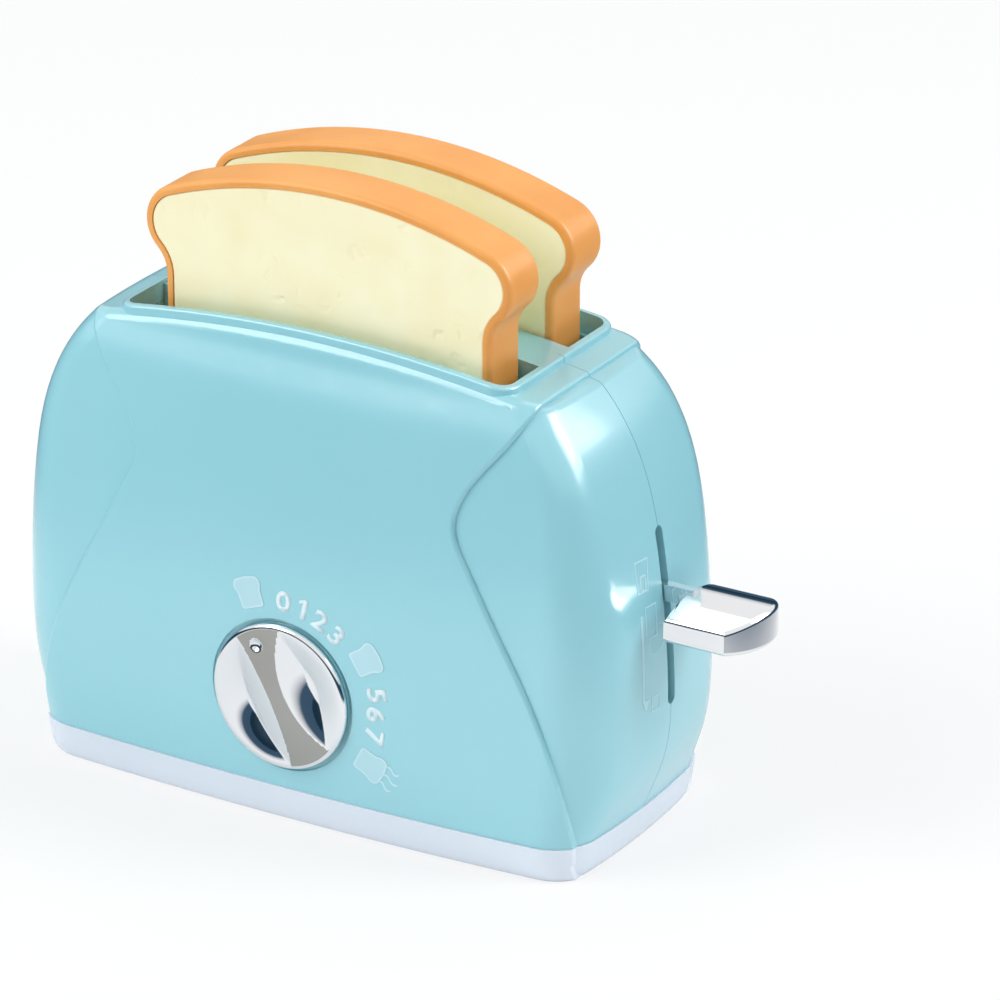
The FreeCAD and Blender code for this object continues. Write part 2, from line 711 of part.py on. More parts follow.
# The carriage slides on the rod and lifts both slices on its rests.
arm_top = "rest_height - rest_thickness"
carriage_block = box("carriage_block", "rod_x - 5.5", "-carriage_half_width", "carriage_foot", "11.5",
                     "2 * carriage_half_width", "carriage_height")
fork = box("fork", "rod_x + 5", "-4", "stem_top - stem_height - 3", "5", "8", "stem_height + 5.5")
cross_bar = box("cross_bar", "rod_x - 8.6", "-slice_centre_y - arm_width / 2", arm_top + " - arm_height - 2", "5",
                "2 * slice_centre_y + arm_width", "arm_height + 2")
arms = [
    box("arm_" + word, "-40", "%d * slice_centre_y - arm_width / 2" % sign, arm_top + " - arm_height",
        "rod_x - 4 + 40", "arm_width", "arm_height")
    for sign, word in ((-1, "front"), (1, "rear"))
]
tab = box("catch_tab", "rod_x - 3.5", "-carriage_half_width - tab_reach", "carriage_foot", "6", "tab_reach + 1",
          "tab_height")
gusset = box("carriage_gusset", "rod_x - 8.6", "-carriage_half_width", arm_top + " - arm_height - 6", "5",
             "2 * carriage_half_width", "8")
rod_slide = rod("rod_slide", "z", "rod_x", "0", "carriage_foot - 10", "rod_radius + running_gap", "60")
stem_slot = box("stem_slot", "rod_x + 4", "-stem_thickness / 2", "stem_top - stem_height - 10", "20",
                "stem_thickness", "30")
lever_pilot = rod("lever_pilot", "y", "rod_x + 7.8", "-10", "stem_top - stem_height / 2", "screw_radius - 0.5",
                  "20")
peg_holes = []
for sign, word in ((-1, "front"), (1, "rear")):
    for place_word, x in (("near", "30"), ("far", "-30")):
        peg_holes.append(rod("peg_hole_%s_%s" % (word, place_word), "z", x, "%d * slice_centre_y" % sign,
                             arm_top + " - arm_height - 1", "1.2", "20"))
node(cut("carriage_body", fuse("carriage_solid", carriage_block, fork, cross_bar, gusset, tab, *arms),
     rod_slide, stem_slot, lever_pilot, *peg_holes), "carriage")

for sign, word in ((-1, "front"), (1, "rear")):
    plate = box(word + "_rest_plate", "-38", "%d * slice_centre_y - rest_width / 2" % sign, arm_top, "80",
                "rest_width", "rest_thickness")
    pegs = [
        rod("%s_rest_peg_%s" % (word, place_word), "z", x, "%d * slice_centre_y" % sign,
            arm_top + " - arm_height", "1.2", "arm_height + 0.5")
        for place_word, x in (("near", "30"), ("far", "-30"))
    ]
    windows = [
        box("%s_rest_window_%s_%d" % (word, side, at), str(at), "%d * slice_centre_y + %s" % (sign, y),
            arm_top + " - 1", "16", "rest_width / 2 - arm_width / 2 - 1.4", "5")
        for at in (-34, -10, 12)
        for side, y in (("a", "-rest_width / 2 + 1.2"), ("b", "arm_width / 2 + 0.2"))
    ]
    node(cut(word + "_rest_body", fuse(word + "_rest_solid", plate, *pegs), *windows), word + "_toast_rest")

node(rod("guide_bar", "z", "rod_x", "0", "rod_foot", "rod_radius", "rod_top - rod_foot"), "guide_rod")


def winding(radius, turns, rise):
    """A helix as smooth pairs of arcs, a half turn to each pair."""
    steps = int(2 * turns)
    slope = rise / (2 * math.pi * turns)

    def at(step):
        turn = step * math.pi
        way = V(-radius * math.sin(turn), radius * math.cos(turn), slope)
        return V(radius * math.cos(turn), radius * math.sin(turn), rise * step / steps), way.normalize()

    def arc(start, corner, end):
        middle = (start + end) / 2
        bend = (corner - start).getAngle(end - corner)
        bow = (corner - middle).normalize() * ((end - start).Length / 2 * math.tan(bend / 4))
        return Part.Arc(start, middle + bow, end).toShape()

    edges = []
    for step in range(steps):
        (first, first_way), (last, last_way) = at(step), at(step + 1)
        span = last - first
        along = span.dot(first_way + last_way)
        turned = 2 * (1 - first_way.dot(last_way))
        reach = (-along + math.sqrt(along * along + turned * span.dot(span))) / turned
        near = first + first_way * reach
        far = last - last_way * reach
        join = (near + far) / 2
        edges += [arc(first, near, join), arc(join, far, last)]
    return Part.Wire(edges)


def coil(radius, wire, turns, foot, top, x, y):
    """A round wire wound upright about a line at X and Y."""
    rise = top - foot - wire
    path = winding(radius, turns, rise)
    way = V(0, radius, rise / (2 * math.pi * turns))
    ring = Part.Wire(Part.makeCircle(wire / 2, V(radius, 0, 0), way))
    spring = path.makePipeShell([ring], True, False)
    spring.translate(V(x, y, foot + wire / 2))
    return spring


spring_foot = dim.base_floor - 0.5 + 10
node(form("lift_coil", coil(dim.spring_radius, dim.spring_wire, dim.spring_turns, spring_foot,
     dim.carriage_foot - 0.1, dim.rod_x, 0)), "lift_spring")


# The lever: a blade through the slot and a crowned thumb paddle outside.
def paddle():
    """The plan of the paddle crossed with its crowned section."""
    start = dim.paddle_start
    half = dim.paddle_half_width
    nose = dim.paddle_nose_radius
    tip = start + dim.paddle_reach
    foot = dim.paddle_foot
    nose_c = tip - nose
    corner_y = math.sqrt(nose ** 2 - (nose * 0.45) ** 2)
    corner_x = nose_c + nose * 0.45
    side_x = start + 0.30 * dim.paddle_reach
    plan = Part.Wire([
        Part.makeLine(V(start, half, foot), V(start, -half, foot)),
        Part.makeLine(V(start, -half, foot), V(side_x, -half, foot)),
        Part.Arc(V(side_x, -half, foot), V((side_x + corner_x) / 2, -half * 0.5 - corner_y * 0.5 + -0.25, foot),
                 V(corner_x, -corner_y, foot)).toShape(),
        Part.Arc(V(corner_x, -corner_y, foot), V(tip, 0, foot), V(corner_x, corner_y, foot)).toShape(),
        Part.Arc(V(corner_x, corner_y, foot), V((side_x + corner_x) / 2, half * 0.5 + corner_y * 0.5 + 0.25, foot),
                 V(side_x, half, foot)).toShape(),
        Part.makeLine(V(side_x, half, foot), V(start, half, foot)),
    ])
    plan_block = Part.Face(plan).extrude(V(0, 0, 20))
    edge = foot + dim.paddle_edge_height
    crest = edge + dim.paddle_crown
    section = Part.Wire([
        Part.makePolygon([V(start, half, edge), V(start, half, foot), V(start, -half, foot),
                          V(start, -half, edge)]),
        Part.Arc(V(start, -half, edge), V(start, 0, crest), V(start, half, edge)).toShape(),
    ])
    section_block = Part.Face(section).extrude(V(dim.paddle_reach + 1, 0, 0))
    solid = plan_block.common(section_block)
    rounded = [e for e in solid.Edges if e.BoundBox.XLength > 0.5 or e.BoundBox.YLength > 15]
    return solid.makeFillet(dim.paddle_round, rounded)


paddle_form = form("paddle_form", paddle())
stem = box("stem_blade", "rod_x + 5.4", "-stem_thickness / 2", "stem_top - stem_height",
           "paddle_start - rod_x - 5.4 + 2", "stem_thickness", "stem_height")


def gusset_form():
    """The flat flare that joins the blade to the paddle's inner side."""
    start = dim.paddle_start + 0.5
    low = dim.stem_top - dim.stem_height
    points = [V(start, -4.2, low), V(start - 2.4, -dim.stem_thickness / 2, low),
              V(start - 2.4, dim.stem_thickness / 2, low), V(start, 4.2, low), V(start, -4.2, low)]
    return Part.Face(Part.makePolygon(points)).extrude(V(0, 0, 2.2))


lever_hole = rod("lever_hole", "y", "rod_x + 7.8", "-10", "stem_top - stem_height / 2", "screw_radius - 0.4", "20")
node(cut("lever_body", fuse("lever_solid", paddle_form, stem, form("lever_flare", gusset_form())), lever_hole),
     "lever_handle")


def screw(name, axis, x, y, z, head_first, length, radius, head, head_height):
    """A pan-head screw. The head lies at the start, or at the end, of its run."""
    shank = rod(name + "_shank", axis, x, y, z, radius, length)
    corner = [x, y, z]
    along = "xyz".index(axis)
    corner[along] = "%s %s" % (corner[along], "- " + head_height if head_first else "+ " + length)
    return fuse(name, shank, rod(name + "_head", axis, *corner, head, head_height))


node(screw("lever_bolt", "y", "rod_x + 7.8", "-4", "stem_top - stem_height / 2", True, "7.4",
     "screw_radius - 0.5", "screw_head_radius - 1.1", "1.2"), "lever_screw")


# The dial: a chromed disc with a waisted grip between two scooped hollows.
def dial_disc():
    centre = V(dim.dial_x, -dim.dial_back, dim.dial_height)
    thick = dim.dial_face - dim.dial_back
    disc = Part.makeCylinder(dim.dial_radius, thick, centre, V(0, -1, 0))
    face_rim = [e for e in disc.Edges if abs(e.BoundBox.YMax + dim.dial_face) < 1e-6]
    disc = disc.makeFillet(dim.dial_round, face_rim)
    face = dim.dial_face
    lens_r = dim.dial_radius - dim.dial_rim
    scoop_x = dim.band_half_waist + dim.band_scoop_radius
    tools = []
    for sign in (-1, 1):
        ring = Part.makeCylinder(lens_r, 20, V(0, -face - 5, 0), V(0, 1, 0))
        lens = Part.makeCylinder(dim.band_scoop_radius, 20, V(sign * scoop_x, -face - 5, 0), V(0, 1, 0))
        crease = sign * dim.scoop_crease
        points = [
            V(sign * dim.band_half_waist * 0.5, -face - 4, -30),
            V(sign * dim.band_half_waist * 1.1, -face, -30),
            V(crease, -face + dim.scoop_depth, -30),
            V(sign * lens_r, -face + 0.5, -30),
            V(sign * (lens_r + 4), -face - 4, -30),
            V(sign * dim.band_half_waist * 0.5, -face - 4, -30),
        ]
        valley = Part.Face(Part.makePolygon(points)).extrude(V(0, 0, 60))
        tools.append(ring.common(lens).common(valley))
    tools.append(Part.makeSphere(1.5, V(0, -face - 0.6, dim.dial_radius - 4.2)))
    for tool in tools:
        tool.rotate(V(0, 0, 0), V(0, 1, 0), -dim.dial_start_angle)
        tool.translate(V(dim.dial_x, 0, dim.dial_height))
    socket = Part.makeCylinder(dim.shaft_radius, 3, centre, V(0, -1, 0))
    return disc.cut(tools).cut(socket)


node(form("dial_form", dial_disc()), "dial_knob")
shaft_bar = rod("shaft_bar", "y", "dial_x", "-dial_back - 3", "dial_height", "shaft_radius",
                "dial_back + 3 - shaft_end")
shaft_pilot = rod("shaft_pilot", "y", "dial_x", "-shaft_end - 6", "dial_height", "screw_radius - 0.5", "10")
node(cut("shaft_body", shaft_bar, shaft_pilot), "dial_shaft")
node(screw("dial_bolt", "y", "dial_x", "-shaft_end - 5.5", "dial_height", False, "5.5", "screw_radius - 0.5",
     "screw_head_radius + 0.8", "1.2"), "dial_screw")


def click_wheel():
    """A toothed wheel that clicks, and behind it the spiral cam that works the latch."""
    teeth = int(dim.wheel_teeth)
    front = -dim.wheel_front
    points = []
    for k in range(2 * teeth):
        radius = dim.wheel_radius - (dim.tooth_depth if k % 2 else 0)
        angle = math.pi * k / teeth
        points.append(V(dim.dial_x + radius * math.sin(angle), front, dim.dial_height + radius * math.cos(angle)))
    wheel = Part.Face(Part.makePolygon(points + points[:1])).extrude(V(0, dim.wheel_thickness, 0))
    sweep = dim.dial_sweep
    cam_points = []
    for angle in range(0, 360, 12):
        fall = angle / sweep if angle < sweep else (360 - angle) / (360 - sweep)
        radius = dim.cam_high - (dim.cam_high - dim.cam_low) * fall
        turn = math.radians(angle)
        cam_points.append(V(dim.dial_x + radius * math.sin(turn), front + dim.wheel_thickness,
                            dim.dial_height - radius * math.cos(turn)))
    curve = Part.BSplineCurve()
    curve.interpolate(cam_points, PeriodicFlag=True)
    cam = Part.Face(Part.Wire(curve.toShape())).extrude(V(0, dim.cam_thickness, 0))
    bore = Part.makeCylinder(dim.shaft_radius, 20, V(dim.dial_x, front - 1, dim.dial_height), V(0, 1, 0))
    return wheel.fuse(cam).cut(bore)


node(form("wheel_form", click_wheel()), "click_wheel")


def click_leaf():
    """A bent strip that hangs from its post and drags on the teeth."""
    x = dim.dial_x
    top = dim.dial_height + 25
    tip = dim.dial_height + dim.wheel_radius + 0.25
    front = -dim.wheel_front
    wide = dim.wheel_thickness
    strip = Part.makeBox(0.5, wide, top - tip - 1.2, V(x + 2.6, front, tip + 1.2))
    toe = Part.makeBox(2.9, wide, 0.5, V(x + 0.2, front, tip + 1.2))
    nib = Part.makeBox(0.5, wide, 1.4, V(x - 0.1, front, tip))
    head = Part.makeBox(6, wide, 5, V(x - 2.9, front, top - 5))
    hole = Part.makeCylinder(1.0, 10, V(x, front - 2, dim.dial_height + 22), V(0, 1, 0))
    return strip.fuse([toe, nib, head]).cut(hole)


node(form("leaf_form", click_leaf()), "click_spring")


# The latch: a hook over the carriage's tab, with a trip bar under the cam.
def latch():
    x = dim.latch_x - dim.latch_width / 2
    wide = dim.latch_width
    y = -dim.latch_y
    z = dim.latch_height
    arm = dim.latch_arm
    tab_top = dim.carriage_foot + dim.tab_height - dim.travel_down
    nose_low = tab_top + dim.trip_gap
    nose_tip = -dim.carriage_half_width - dim.tab_reach + 2.4
    hub = Part.makeCylinder(3, wide, V(x, y, z), V(1, 0, 0))
    post = Part.makeBox(wide, arm, nose_low + 3 - z, V(x, y - arm / 2, z))
    nose = Part.makeBox(wide, nose_tip - y + arm / 2, 2.6, V(x, y - arm / 2, nose_low + 0.4))
    closed = hub.fuse([post, nose])
    closed.rotate(V(x, y, z), V(1, 0, 0), dim.latch_turn)
    bar_back = -dim.wheel_front + dim.wheel_thickness + dim.cam_thickness
    bar_front = bar_back - dim.cam_thickness
    bar_top = dim.dial_height - dim.cam_high - dim.trip_gap
    low = bar_top - 3
    bar = Part.makeBox(x + wide - dim.dial_x + 5, dim.cam_thickness, 3, V(dim.dial_x - 5, bar_front, low))
    web = Part.makeBox(wide, y - bar_front, 2.6, V(x, bar_front, low))
    link = Part.makeBox(wide, 4, low + 2.6 - z, V(x, y - 4, z))
    solid = closed.fuse([bar, web, link])
    bore = Part.makeCylinder(dim.latch_pin_radius + dim.running_gap, wide + 2, V(x - 1, y, z), V(1, 0, 0))
    return solid.cut(bore)


node(form("latch_form", latch()), "latch_lever")
node(rod("latch_axle", "x", "latch_x - latch_width / 2 - 2.3", "-latch_y", "latch_height", "latch_pin_radius",
     "latch_width + 4.6"), "latch_pin")
bar_under = dim.dial_height - dim.cam_high - dim.trip_gap - 3
node(form("latch_coil", coil(1.9, 0.5, 9, dim.base_floor + 0.05, bar_under, dim.latch_x - 20,
     -dim.latch_y - 14)), "latch_spring")

base_bolts = []
for y_sign in (-1, 1):
    for sign, word in SIDES:
        base_bolts.append(screw("base_bolt_%s_%d" % (word, y_sign + 1), "z", "%d * base_screw_x" % sign,
                                "%d * base_screw_y" % y_sign, "screw_head_height + 0.8", True, "13",
                                "screw_radius", "screw_head_radius", "screw_head_height"))
node(group("base_bolts", *base_bolts), "base_screws")

shell_bolts = [
    screw("shell_bolt_%s_%s" % (word, end), "y", "%d * %s_screw_x" % (sign, word), "-10",
          "%s_screw_height" % word, False, "22", "screw_radius", "screw_head_radius", "screw_head_height")
    for word in LEVEL_WORDS
    for sign, end in SIDES
]
node(group("shell_bolts", *shell_bolts), "shell_screws")

liner_bolts = [
    screw("liner_bolt_" + word, "z", "%d * 30" % sign, "0", "liner_floor_height + liner_wall - 10", False, "10",
          "screw_radius", "screw_head_radius", "screw_head_height")
    for sign, word in SIDES
]
node(group("liner_bolts", *liner_bolts), "liner_screws")

doc.recompute()
failed = [thing.Name for thing in doc.Objects if "Invalid" in thing.State or "Error" in thing.State]
if failed:
    raise RuntimeError("not built: " + ", ".join(failed))
os.makedirs("parts", exist_ok=True)
for name, thing in nodes.items():
    shape = thing.Shape
    if shape.isNull() or not shape.isValid() or not shape.Solids:
        raise RuntimeError("bad shape: " + name)
    shape.exportStep("parts/%s.step" % name)
    size = shape.BoundBox
    print("%-18s %d solids %9.1f mm3  x %6.1f %6.1f  y %6.1f %6.1f  z %6.1f %6.1f" % (
        name, len(shape.Solids), shape.Volume, size.XMin, size.XMax, size.YMin, size.YMax, size.ZMin, size.ZMax))
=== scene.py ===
# %% [markdown]
# # A toy toaster
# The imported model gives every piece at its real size. This file dresses it: the glossy shell,
# the plated lever and dial, the two slices with their pores, and the printed marks.
# It is read from top to bottom, and each step says what the real piece is, how it could be
# made here, and why this way was chosen.

# %% Load the frame
import json
import math
import bpy
from mathutils import Matrix, Vector


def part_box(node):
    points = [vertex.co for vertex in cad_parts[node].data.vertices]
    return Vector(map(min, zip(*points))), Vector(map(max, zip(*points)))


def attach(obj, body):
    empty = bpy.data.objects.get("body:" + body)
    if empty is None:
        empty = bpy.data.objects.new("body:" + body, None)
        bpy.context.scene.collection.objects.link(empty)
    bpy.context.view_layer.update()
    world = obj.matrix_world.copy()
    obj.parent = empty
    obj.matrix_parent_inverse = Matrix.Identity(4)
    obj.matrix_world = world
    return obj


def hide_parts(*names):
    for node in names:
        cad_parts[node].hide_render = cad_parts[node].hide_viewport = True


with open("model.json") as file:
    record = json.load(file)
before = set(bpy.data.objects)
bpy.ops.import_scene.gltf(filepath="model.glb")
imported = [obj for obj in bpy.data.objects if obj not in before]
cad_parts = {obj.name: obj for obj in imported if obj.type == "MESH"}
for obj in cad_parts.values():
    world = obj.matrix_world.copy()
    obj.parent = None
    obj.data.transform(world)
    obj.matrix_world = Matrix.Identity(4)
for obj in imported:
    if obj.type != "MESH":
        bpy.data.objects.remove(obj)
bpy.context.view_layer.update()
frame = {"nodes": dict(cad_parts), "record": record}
nodes = frame["nodes"]
MM = 0.001

# %% [markdown]
# ## Camera
# The photograph was taken from the right and above with a long lens, so far edges stay almost
# parallel. A camera could be pointed at the toy by eye, but then no edge would fall where it
# does in the photograph. Here its place is worked out from the angles that were fitted to the
# photograph: a turn round the toy, a height above the table, and a distance.

# %% Place the camera
AZIMUTH = math.radians(30.5)
ELEVATION = math.radians(23.5)
DISTANCE = 1397 * MM
FOCUS_PIXELS = 6239
IMAGE_PIXELS = 1000
AIM = Vector((0, 0, 55 * MM))
SLIDE_RIGHT = 29.6 * MM
SLIDE_UP = 10.2 * MM
SENSOR = 36

camera_back = Vector((math.sin(AZIMUTH) * math.cos(ELEVATION),
                      -math.cos(AZIMUTH) * math.cos(ELEVATION), math.sin(ELEVATION)))
camera_right = Vector((math.cos(AZIMUTH), math.sin(AZIMUTH), 0))
camera_up = camera_back.cross(camera_right)
camera_place = AIM + camera_back * DISTANCE + camera_right * SLIDE_RIGHT + camera_up * SLIDE_UP
camera_data = bpy.data.cameras.new("photo_camera")
camera_data.sensor_width = SENSOR
camera_data.lens = FOCUS_PIXELS / IMAGE_PIXELS * SENSOR
camera_data.clip_end = 20
camera = bpy.data.objects.new("photo_camera", camera_data)
bpy.context.scene.collection.objects.link(camera)
turn = Matrix((camera_right, camera_up, camera_back)).transposed().to_4x4()
camera.matrix_world = Matrix.Translation(camera_place) @ turn
bpy.context.scene.camera = camera
print("camera at", [round(v, 3) for v in camera_place], "lens", round(camera_data.lens, 1))

# %% [markdown]
# ## Colours
# A colour read off a screen is written 0 to 255 and isn't linear, while a shader wants linear
# light. A small helper turns one into the other, so every colour below can be written as it
# looks.

# %% A colour as it looks on screen
def ink(red, green, blue):
    """A screen colour as linear light."""
    def linear(value):
        value /= 255
        return value / 12.92 if value <= 0.04045 else ((value + 0.055) / 1.055) ** 2.4
    return (linear(red), linear(green), linear(blue), 1.0)


print("shell colour in linear light:", [round(v, 3) for v in ink(155, 214, 225)[:3]])

# %% [markdown]
# ## Finishes
# Moulded plastic is never one flat value. Its colour drifts a little where the wall is thick,
# its gloss breaks up with use, and close to, the mould leaves a faint orange-peel
# ripple. One helper builds that: a broad noise for the colour, a second noise for the gloss,
# and a fine one for the bump. Each finish then only says its colours and scales.

# %% A finish with drifting colour, gloss and ripple
def finish(name, colour, darker, drift_scale, gloss, gloss_spread, ripple_scale, ripple_height,
           metal=0.0, coat=0.0):
    material = bpy.data.materials.new(name)
    material.use_nodes = True
    tree = material.node_tree
    shader = tree.nodes["Principled BSDF"]
    shader.inputs["Metallic"].default_value = metal
    shader.inputs["Coat Weight"].default_value = coat
    shader.inputs["Coat Roughness"].default_value = 0.12
    place = tree.nodes.new("ShaderNodeTexCoord")

    def noise(scale, detail):
        cloud = tree.nodes.new("ShaderNodeTexNoise")
        cloud.inputs["Scale"].default_value = scale
        cloud.inputs["Detail"].default_value = detail
        tree.links.new(place.outputs["Object"], cloud.inputs["Vector"])
        return cloud.outputs["Fac"]

    ramp = tree.nodes.new("ShaderNodeValToRGB")
    ramp.color_ramp.elements[0].position = 0.35
    ramp.color_ramp.elements[0].color = darker
    ramp.color_ramp.elements[1].position = 0.65
    ramp.color_ramp.elements[1].color = colour
    tree.links.new(noise(drift_scale, 2), ramp.inputs["Fac"])
    tree.links.new(ramp.outputs["Color"], shader.inputs["Base Color"])
    spread = tree.nodes.new("ShaderNodeMapRange")
    spread.inputs["To Min"].default_value = gloss - gloss_spread
    spread.inputs["To Max"].default_value = gloss + gloss_spread
    tree.links.new(noise(drift_scale * 2, 1), spread.inputs["Value"])
    tree.links.new(spread.outputs["Result"], shader.inputs["Roughness"])
    bump = tree.nodes.new("ShaderNodeBump")
    bump.name = "ripple"
    bump.inputs["Strength"].default_value = 1.0
    bump.inputs["Distance"].default_value = ripple_height * MM
    tree.links.new(noise(ripple_scale, 3), bump.inputs["Height"])
    tree.links.new(bump.outputs["Normal"], shader.inputs["Normal"])
    return material


aqua = finish("aqua_plastic", ink(153, 214, 225), ink(150, 212, 223), 14, 0.28, 0.015, 700, 0.008, coat=0.8)
white = finish("white_plastic", ink(228, 237, 247), ink(223, 233, 244), 16, 0.26, 0.02, 900, 0.008, coat=0.3)
inner = finish("inner_plastic", ink(88, 206, 200), ink(78, 199, 193), 40, 0.42, 0.05, 1200, 0.015)
crust = finish("crust_plastic", ink(243, 171, 90), ink(235, 158, 74), 45, 0.40, 0.07, 1100, 0.03)
chrome = finish("bright_chrome", (0.83, 0.83, 0.84, 1), (0.76, 0.77, 0.79, 1), 30, 0.05, 0.02, 160, 0.006,
                metal=1.0)
# The band's plating is rougher, and its dark colour is painted shade for the shaded floor it mirrors.
band_plating_painted_shade = finish("dull_plating_painted_shade", (0.40, 0.39, 0.37, 1), (0.35, 0.34, 0.32, 1), 30, 0.16, 0.03, 400, 0.006,
                    metal=1.0)
steel = finish("plain_steel", (0.62, 0.62, 0.64, 1), (0.50, 0.50, 0.52, 1), 120, 0.32, 0.08, 2500, 0.01,
               metal=1.0)
print("finishes:", [m.name for m in bpy.data.materials])

# %% [markdown]
# ## Crumb
# The crumb is cream plastic cast with the small hollows of real bread. Hollows could be cut one
# by one, but they are tenths of a millimetre deep and there are hundreds. Cells of a Voronoi
# pattern, warped by noise and kept only where they are deep, give sparse soft dents of uneven
# size.

# %% Cream crumb with soft dents
crumb = finish("crumb_plastic", ink(254, 249, 212), ink(251, 243, 198), 60, 0.50, 0.05, 500, 0.05)
crumb_tree = crumb.node_tree


def crumb_node(kind, **values):
    """A node of the crumb's finish with its plain inputs set."""
    made = crumb_tree.nodes.new(kind)
    for socket, value in values.items():
        made.inputs[socket].default_value = value
    return made


crumb_place = crumb_node("ShaderNodeTexCoord")
warp = crumb_node("ShaderNodeTexNoise", Scale=260, Detail=2)
shift = crumb_node("ShaderNodeVectorMath")
shift.operation = "SCALE"
shift.inputs["Scale"].default_value = 0.006
moved = crumb_node("ShaderNodeVectorMath")
moved.operation = "ADD"
cells = crumb_node("ShaderNodeTexVoronoi", Scale=210)
depth = crumb_node("ShaderNodeMapRange")
for socket, value in (("From Min", 0.10), ("From Max", 0.42), ("To Min", 1.0), ("To Max", 0.0)):
    depth.inputs[socket].default_value = value
patches = crumb_node("ShaderNodeTexNoise", Scale=55, Detail=1)
sparse = crumb_node("ShaderNodeMapRange")
sparse.inputs["From Min"].default_value = 0.50
sparse.inputs["From Max"].default_value = 0.66
dents = crumb_node("ShaderNodeMath")
dents.operation = "MULTIPLY"
dent_bump = crumb_node("ShaderNodeBump", Strength=1.0, Distance=0.28 * MM)
dent_bump.invert = True
crumb_links = crumb_tree.links
crumb_links.new(crumb_place.outputs["Object"], warp.inputs["Vector"])
crumb_links.new(warp.outputs["Color"], shift.inputs[0])
crumb_links.new(crumb_place.outputs["Object"], moved.inputs[0])
crumb_links.new(shift.outputs["Vector"], moved.inputs[1])
crumb_links.new(moved.outputs["Vector"], cells.inputs["Vector"])
crumb_links.new(crumb_place.outputs["Object"], patches.inputs["Vector"])
crumb_links.new(cells.outputs["Distance"], depth.inputs["Value"])
crumb_links.new(patches.outputs["Fac"], sparse.inputs["Value"])
crumb_links.new(depth.outputs["Result"], dents.inputs[0])
crumb_links.new(sparse.outputs["Result"], dents.inputs[1])
crumb_links.new(dents.outputs["Value"], dent_bump.inputs["Height"])
crumb_links.new(crumb_tree.nodes["ripple"].outputs["Normal"], dent_bump.inputs["Normal"])
crumb_links.new(dent_bump.outputs["Normal"], crumb_tree.nodes["Principled BSDF"].inputs["Normal"])
print("crumb nodes:", len(crumb_tree.nodes))

# %% [markdown]
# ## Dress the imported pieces
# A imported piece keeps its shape, so only its finish changes: the material that came with it makes
# room for one of those above. The record says which finish each piece wears.

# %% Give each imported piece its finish
FINISHES = {
    "aqua_shell": aqua,
    "white_base": white,
    "inner_plastic": inner,
    "chrome_trim": chrome,
    "crust_plastic": crust,
    "crumb_plastic": crumb,
    "steel_parts": steel,
}
for entry in frame["record"]["subparts"]:
    piece = nodes[entry["node"]]
    piece.data.materials.clear()
    piece.data.materials.append(FINISHES[entry["material_slot"]])

# %% [markdown]
# ## Floor
# The toy stands on white paper. The paper could be lit until it turns white, but then the toy
# would be too bright. Its own material instead shows a lighter value to the camera only, and
# keeps the toy's soft shadow. Beyond about 0.2 m the paper glows a painted dark blue-black that
# only mirror rays see, a painted reflection of a dark room that gives plating its contrast.

# %% White paper
# Painted reflection: from here out the paper turns into a dark glow that only mirror rays see.
PAINTED_DARK_STARTS = 0.16
PAINTED_DARK_FULL = 0.26
PAINTED_REFLECTION_COLOUR = (0.05, 0.10, 0.16, 1)


def paper(name, colour, lift):
    """White paper that keeps a shadow, lifted towards white for camera rays, painted dark far off for mirror
    rays.
    """
    material = bpy.data.materials.new(name)
    material.use_nodes = True
    tree = material.node_tree
    shader = tree.nodes["Principled BSDF"]
    shader.inputs["Base Color"].default_value = colour
    shader.inputs["Roughness"].default_value = 0.9
    glow = tree.nodes.new("ShaderNodeEmission")
    path = tree.nodes.new("ShaderNodeLightPath")
    share = tree.nodes.new("ShaderNodeMath")
    share.operation = "MULTIPLY"
    share.inputs[1].default_value = lift
    link = tree.links.new
    mix = tree.nodes.new("ShaderNodeMixShader")
    link(path.outputs["Is Camera Ray"], share.inputs[0])
    link(share.outputs["Value"], mix.inputs["Fac"])
    link(shader.outputs["BSDF"], mix.inputs[1])
    link(glow.outputs["Emission"], mix.inputs[2])
    place = tree.nodes.new("ShaderNodeTexCoord")
    reach = tree.nodes.new("ShaderNodeVectorMath")
    reach.operation = "LENGTH"
    far = tree.nodes.new("ShaderNodeMapRange")
    far.inputs["From Min"].default_value = PAINTED_DARK_STARTS
    far.inputs["From Max"].default_value = PAINTED_DARK_FULL
    painted_dark_share = tree.nodes.new("ShaderNodeMath")
    painted_dark_share.operation = "MULTIPLY"
    # Painted reflection: a dark blue-black glow seen by mirror rays only, standing in for a dark room.
    painted_dark_reflection = tree.nodes.new("ShaderNodeEmission")
    painted_dark_reflection.inputs["Color"].default_value = PAINTED_REFLECTION_COLOUR
    painted_dark_mix = tree.nodes.new("ShaderNodeMixShader")
    link(place.outputs["Object"], reach.inputs[0])
    link(reach.outputs["Value"], far.inputs["Value"])
    link(far.outputs["Result"], painted_dark_share.inputs[0])
    link(path.outputs["Is Glossy Ray"], painted_dark_share.inputs[1])
    link(painted_dark_share.outputs["Value"], painted_dark_mix.inputs["Fac"])
    link(mix.outputs["Shader"], painted_dark_mix.inputs[1])
    link(painted_dark_reflection.outputs["Emission"], painted_dark_mix.inputs[2])
    link(painted_dark_mix.outputs["Shader"], tree.nodes["Material Output"].inputs["Surface"])
    return material


bpy.ops.object.select_all(action="DESELECT")
bpy.ops.mesh.primitive_plane_add(size=8, location=(0, 0, 0))
floor = bpy.context.object
floor.name = "floor"
floor.data.materials.append(paper("white_paper", (0.90, 0.90, 0.90, 1), 0.62))
print("floor:", tuple(round(v, 2) for v in floor.dimensions))

# %% [markdown]
# ## Lamps
# A large soft lamp on the left lights the front. A second one stands behind the toy on the
# right, and a third softens the top. The curved shoulder also mirrors a big bright window; that
# lamp lights nothing and only shows in gloss.

